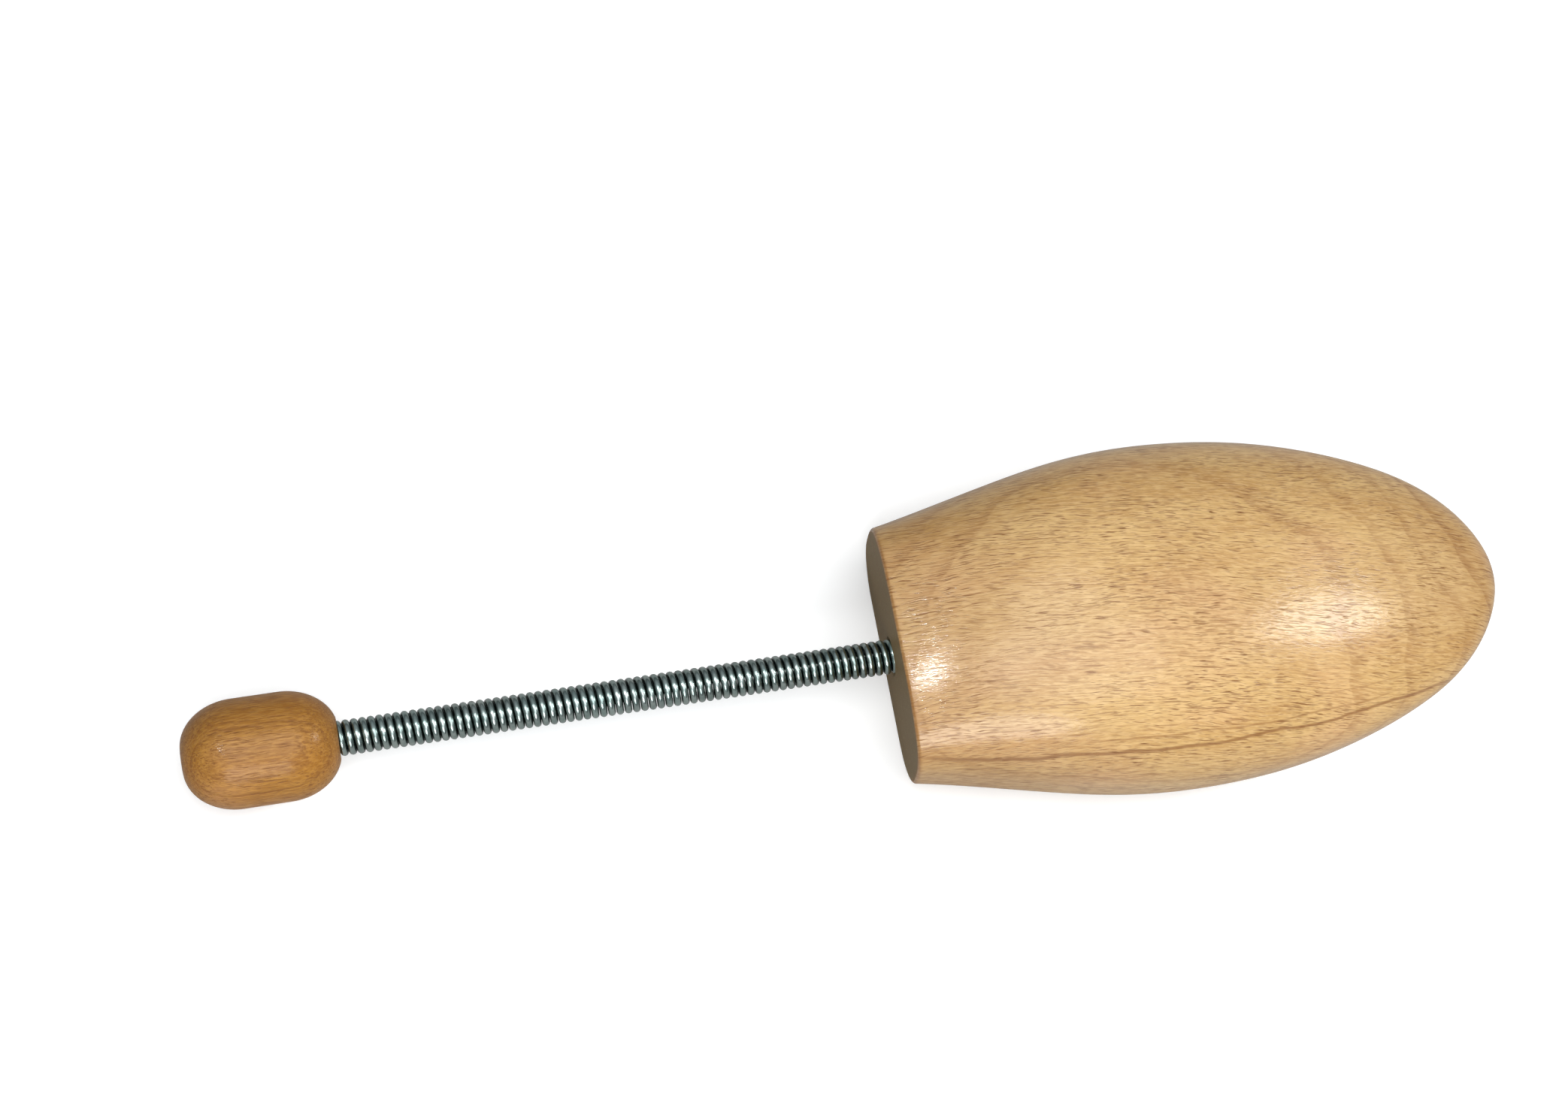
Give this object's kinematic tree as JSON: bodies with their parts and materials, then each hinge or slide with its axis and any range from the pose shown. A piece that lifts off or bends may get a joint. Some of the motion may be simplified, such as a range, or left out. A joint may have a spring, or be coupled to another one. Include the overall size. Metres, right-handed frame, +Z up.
{
  "type": "spring shoe tree",
  "caption": "Shoe tree: domed beech forefoot block with a flat sole, joined by a long close-wound coil spring to a turned beech heel knob.",
  "frame": {"origin": "on the flat sole, on the plane of symmetry, half way between the toe tip and the rear edge of the sole", "axes": "+Z up from the sole, +X to the toe, so the spring and the heel knob lie towards -X"},
  "size_m": [0.2801, 0.0738, 0.041],
  "materials": {
    "block_wood": "beech, sanded, clear satin lacquer",
    "knob_wood": "beech, turned and sanded, clear satin lacquer",
    "spring_steel": "bright zinc-plated spring wire"
  },
  "bodies": {
    "forefoot": {"forefoot_block": "block_wood", "spring_front_end": "spring_steel"},
    "coil_01": {"spring_section_01": "spring_steel"},
    "coil_02": {"spring_section_02": "spring_steel"},
    "coil_03": {"spring_section_03": "spring_steel"},
    "coil_04": {"spring_section_04": "spring_steel"},
    "coil_05": {"spring_section_05": "spring_steel"},
    "coil_06": {"spring_section_06": "spring_steel"},
    "coil_07": {"spring_section_07": "spring_steel"},
    "coil_08": {"spring_section_08": "spring_steel"},
    "coil_09": {"spring_section_09": "spring_steel"},
    "coil_10": {"spring_section_10": "spring_steel"},
    "coil_11": {"spring_section_11": "spring_steel"},
    "coil_12": {"spring_section_12": "spring_steel"},
    "coil_13": {"spring_section_13": "spring_steel"},
    "coil_14": {"spring_section_14": "spring_steel"},
    "coil_15": {"spring_section_15": "spring_steel"},
    "heel": {"heel_knob": "knob_wood", "spring_rear_end": "spring_steel"}
  },
  "joints": [
    {"name": "spring_lift", "type": "hinge", "parent": "forefoot", "child": "coil_01", "pos_m": [-0.07402, 0, 0.01387], "axis": [0, 1, 0], "range_deg": [-11.25, 11.25], "stiffness_Nm_per_rad": 0.4118},
    {"name": "spring_swing", "type": "hinge", "parent": "coil_01", "child": "coil_02", "pos_m": [-0.08082, 0, 0.01372], "axis": [-0.0216, 0, 0.9998], "range_deg": [-11.25, 11.25], "stiffness_Nm_per_rad": 0.4118},
    {"name": "spring_lift_02", "type": "hinge", "parent": "coil_02", "child": "coil_03", "pos_m": [-0.08762, 0, 0.01358], "axis": [0, 1, 0], "range_deg": [-11.25, 11.25], "stiffness_Nm_per_rad": 0.4118},
    {"name": "spring_swing_02", "type": "hinge", "parent": "coil_03", "child": "coil_04", "pos_m": [-0.09442, 0, 0.01343], "axis": [-0.0216, 0, 0.9998], "range_deg": [-11.25, 11.25], "stiffness_Nm_per_rad": 0.4118},
    {"name": "spring_lift_03", "type": "hinge", "parent": "coil_04", "child": "coil_05", "pos_m": [-0.10122, 0, 0.01328], "axis": [0, 1, 0], "range_deg": [-11.25, 11.25], "stiffness_Nm_per_rad": 0.4118},
    {"name": "spring_swing_03", "type": "hinge", "parent": "coil_05", "child": "coil_06", "pos_m": [-0.10801, 0, 0.01314], "axis": [-0.0216, 0, 0.9998], "range_deg": [-11.25, 11.25], "stiffness_Nm_per_rad": 0.4118},
    {"name": "spring_lift_04", "type": "hinge", "parent": "coil_06", "child": "coil_07", "pos_m": [-0.11481, 0, 0.01299], "axis": [0, 1, 0], "range_deg": [-11.25, 11.25], "stiffness_Nm_per_rad": 0.4118},
    {"name": "spring_swing_04", "type": "hinge", "parent": "coil_07", "child": "coil_08", "pos_m": [-0.12161, 0, 0.01284], "axis": [-0.0216, 0, 0.9998], "range_deg": [-11.25, 11.25], "stiffness_Nm_per_rad": 0.4118},
    {"name": "spring_lift_05", "type": "hinge", "parent": "coil_08", "child": "coil_09", "pos_m": [-0.12841, 0, 0.0127], "axis": [0, 1, 0], "range_deg": [-11.25, 11.25], "stiffness_Nm_per_rad": 0.4118},
    {"name": "spring_swing_05", "type": "hinge", "parent": "coil_09", "child": "coil_10", "pos_m": [-0.13521, 0, 0.01255], "axis": [-0.0216, 0, 0.9998], "range_deg": [-11.25, 11.25], "stiffness_Nm_per_rad": 0.4118},
    {"name": "spring_lift_06", "type": "hinge", "parent": "coil_10", "child": "coil_11", "pos_m": [-0.14201, 0, 0.0124], "axis": [0, 1, 0], "range_deg": [-11.25, 11.25], "stiffness_Nm_per_rad": 0.4118},
    {"name": "spring_swing_06", "type": "hinge", "parent": "coil_11", "child": "coil_12", "pos_m": [-0.14881, 0, 0.01226], "axis": [-0.0216, 0, 0.9998], "range_deg": [-11.25, 11.25], "stiffness_Nm_per_rad": 0.4118},
    {"name": "spring_lift_07", "type": "hinge", "parent": "coil_12", "child": "coil_13", "pos_m": [-0.1556, 0, 0.01211], "axis": [0, 1, 0], "range_deg": [-11.25, 11.25], "stiffness_Nm_per_rad": 0.4118},
    {"name": "spring_swing_07", "type": "hinge", "parent": "coil_13", "child": "coil_14", "pos_m": [-0.1624, 0, 0.01196], "axis": [-0.0216, 0, 0.9998], "range_deg": [-11.25, 11.25], "stiffness_Nm_per_rad": 0.4118},
    {"name": "spring_lift_08", "type": "hinge", "parent": "coil_14", "child": "coil_15", "pos_m": [-0.1692, 0, 0.01182], "axis": [0, 1, 0], "range_deg": [-11.25, 11.25], "stiffness_Nm_per_rad": 0.4118},
    {"name": "spring_swing_08", "type": "hinge", "parent": "coil_15", "child": "heel", "pos_m": [-0.176, 0, 0.01167], "axis": [-0.0216, 0, 0.9998], "range_deg": [-11.25, 11.25], "stiffness_Nm_per_rad": 0.4118}
  ],
  "couplings": [
    {"joint": "spring_lift_02", "follows": "spring_lift", "ratio": 1},
    {"joint": "spring_swing_02", "follows": "spring_swing", "ratio": 1},
    {"joint": "spring_lift_03", "follows": "spring_lift", "ratio": 1},
    {"joint": "spring_swing_03", "follows": "spring_swing", "ratio": 1},
    {"joint": "spring_lift_04", "follows": "spring_lift", "ratio": 1},
    {"joint": "spring_swing_04", "follows": "spring_swing", "ratio": 1},
    {"joint": "spring_lift_05", "follows": "spring_lift", "ratio": 1},
    {"joint": "spring_swing_05", "follows": "spring_swing", "ratio": 1},
    {"joint": "spring_lift_06", "follows": "spring_lift", "ratio": 1},
    {"joint": "spring_swing_06", "follows": "spring_swing", "ratio": 1},
    {"joint": "spring_lift_07", "follows": "spring_lift", "ratio": 1},
    {"joint": "spring_swing_07", "follows": "spring_swing", "ratio": 1},
    {"joint": "spring_lift_08", "follows": "spring_lift", "ratio": 1},
    {"joint": "spring_swing_08", "follows": "spring_swing", "ratio": 1}
  ]
}
